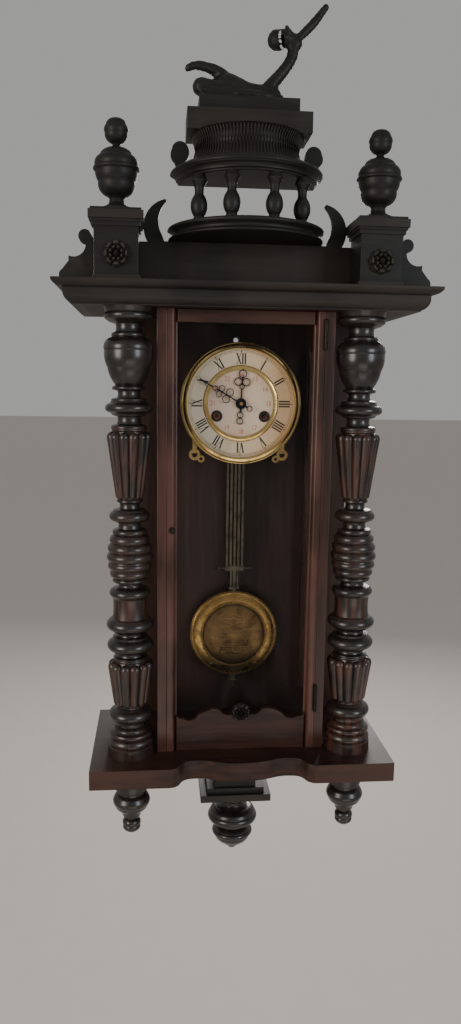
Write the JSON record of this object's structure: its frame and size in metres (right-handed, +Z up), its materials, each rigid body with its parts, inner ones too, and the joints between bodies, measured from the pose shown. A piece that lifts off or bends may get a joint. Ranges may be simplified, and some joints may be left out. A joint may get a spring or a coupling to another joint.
{
  "type": "pendulum wall clock",
  "caption": "Spring-driven pendulum wall clock in a turned and carved dark wood case with glazed hinged door, striking movement, enamel dial and compensated pendulum.",
  "frame": {"origin": "centre of the hanger hole, on the back face that lies on the wall", "axes": "+X to the right seen from the front, +Y back into the wall, +Z up"},
  "size_m": [0.4792, 0.2132, 1.1808],
  "materials": {
    "ebonised": "ebonised, aged gloss varnish",
    "walnut": "red-brown stained, varnished",
    "dark_panel": "dark stained, dull",
    "glass": "old clear sheet glass",
    "brass": "aged, lacquered",
    "steel": "plain, slightly dull",
    "blued_steel": "dark blued",
    "enamel": "aged cream enamel",
    "enamel_centre": "aged warm cream enamel",
    "pendulum_metal": "darkened brass and steel strips"
  },
  "bodies": {
    "case": {"back_board": "dark_panel", "side_frame_left": "walnut", "side_frame_right": "walnut", "side_glasses": "glass", "top_board": "dark_panel", "cornice": "ebonised", "base_shelf": "walnut", "column_left": "ebonised", "column_right": "ebonised", "crest_board": "ebonised", "gallery_base": "ebonised", "gallery_balusters": "ebonised", "gallery_canopy": "ebonised", "crest_dome": "ebonised", "crest_plinth": "ebonised", "crest_figure": "ebonised", "pedestals": "ebonised", "fret_scrolls": "ebonised", "pedestal_rosettes": "ebonised", "finials": "ebonised", "side_pendants": "ebonised", "pendant_block": "ebonised", "centre_pendant": "ebonised", "hanger_plate": "steel", "movement_bracket": "brass", "gong": "steel", "case_hinge_leaves": "brass", "dial_pan": "brass", "chapter_ring": "enamel", "dial_centre": "enamel_centre", "dial_bezels": "brass", "front_plate": "brass", "back_plate": "brass"},
    "door": {"door_stile_left": "walnut", "door_stile_right": "walnut", "door_top_rail": "walnut", "door_bottom_rail": "walnut", "door_glass": "glass", "door_rosette": "ebonised", "door_hinge_leaves": "brass", "door_lock": "brass"},
    "bolt": {"lock_bolt": "steel"},
    "going_barrel": {"going_barrel": "brass"},
    "strike_barrel": {"strike_barrel": "brass"},
    "going_winder": {"going_winding_arbor": "steel"},
    "strike_winder": {"strike_winding_arbor": "steel"},
    "intermediate": {"intermediate_wheel": "brass"},
    "minute": {"centre_arbor": "brass", "minute_hand": "blued_steel"},
    "third": {"third_wheel": "brass"},
    "escape": {"escape_wheel": "brass"},
    "anchor": {"anchor": "steel"},
    "minute_wheel": {"minute_wheel": "brass"},
    "hour": {"hour_wheel": "brass", "hour_hand": "blued_steel"},
    "hammer": {"hammer": "steel"},
    "pendulum": {"pendulum_rod": "pendulum_metal", "suspension_spring": "steel"},
    "bob": {"pendulum_bob": "brass"},
    "rating_nut": {"rating_nut": "brass"}
  },
  "joints": [
    {"name": "door_hinge", "type": "hinge", "parent": "case", "child": "door", "pos_m": [0.10175, -0.1525, -0.24], "axis": [0, 0, 1], "range_deg": [0, 120]},
    {"name": "bolt_slide", "type": "slide", "parent": "door", "child": "bolt", "axis": [-1, 0, 0], "range_m": [0, 0.006]},
    {"name": "minute_turn", "type": "hinge", "parent": "case", "child": "minute", "pos_m": [0, -0.06, -0.09], "axis": [0, 1, 0], "continuous": true},
    {"name": "hour_turn", "type": "hinge", "parent": "case", "child": "hour", "pos_m": [0, -0.085, -0.09], "axis": [0, 1, 0], "continuous": true},
    {"name": "minute_wheel_turn", "type": "hinge", "parent": "case", "child": "minute_wheel", "pos_m": [0, -0.08, -0.102], "axis": [0, 1, 0], "continuous": true},
    {"name": "intermediate_turn", "type": "hinge", "parent": "case", "child": "intermediate", "pos_m": [0.01921, -0.06, -0.08013], "axis": [0, 1, 0], "continuous": true},
    {"name": "going_barrel_turn", "type": "hinge", "parent": "case", "child": "going_barrel", "pos_m": [0.0328, -0.06, -0.1073], "axis": [0, 1, 0], "continuous": true},
    {"name": "third_turn", "type": "hinge", "parent": "case", "child": "third", "pos_m": [-0.00522, -0.06, -0.06997], "axis": [0, 1, 0], "continuous": true},
    {"name": "escape_turn", "type": "hinge", "parent": "case", "child": "escape", "pos_m": [0, -0.06, -0.054], "axis": [0, 1, 0], "continuous": true},
    {"name": "strike_barrel_turn", "type": "hinge", "parent": "case", "child": "strike_barrel", "pos_m": [-0.0328, -0.06, -0.1073], "axis": [0, 1, 0], "continuous": true},
    {"name": "going_winding", "type": "hinge", "parent": "case", "child": "going_winder", "pos_m": [0.0328, -0.06, -0.1073], "axis": [0, 1, 0], "range_deg": [0, 1890]},
    {"name": "strike_winding", "type": "hinge", "parent": "case", "child": "strike_winder", "pos_m": [-0.0328, -0.06, -0.1073], "axis": [0, 1, 0], "range_deg": [0, 1890]},
    {"name": "pendulum_swing", "type": "hinge", "parent": "case", "child": "pendulum", "pos_m": [0, -0.028, -0.028], "axis": [0, 1, 0], "range_deg": [-3, 3]},
    {"name": "anchor_rock", "type": "hinge", "parent": "case", "child": "anchor", "pos_m": [0, -0.05, -0.028], "axis": [0, 1, 0], "range_deg": [-3, 3]},
    {"name": "bob_slide", "type": "slide", "parent": "pendulum", "child": "bob", "axis": [0, 0, 1], "range_m": [-0.001, 0.001]},
    {"name": "nut_turn", "type": "hinge", "parent": "pendulum", "child": "rating_nut", "pos_m": [0, -0.028, -0.5045], "axis": [0, 0, 1], "range_deg": [-720, 720]},
    {"name": "hammer_lift", "type": "hinge", "parent": "case", "child": "hammer", "pos_m": [0.063, -0.03, -0.132], "axis": [0, 1, 0], "range_deg": [0, 12], "stiffness_Nm_per_rad": 0.02}
  ],
  "couplings": [
    {"joint": "hour_turn", "follows": "minute_turn", "ratio": 0.083333},
    {"joint": "minute_wheel_turn", "follows": "minute_turn", "ratio": -0.33333},
    {"joint": "intermediate_turn", "follows": "minute_turn", "ratio": -0.125},
    {"joint": "going_barrel_turn", "follows": "minute_turn", "ratio": 0.015625},
    {"joint": "third_turn", "follows": "minute_turn", "ratio": -10.5},
    {"joint": "escape_turn", "follows": "minute_turn", "ratio": 94.5},
    {"joint": "anchor_rock", "follows": "pendulum_swing", "ratio": 1}
  ]
}
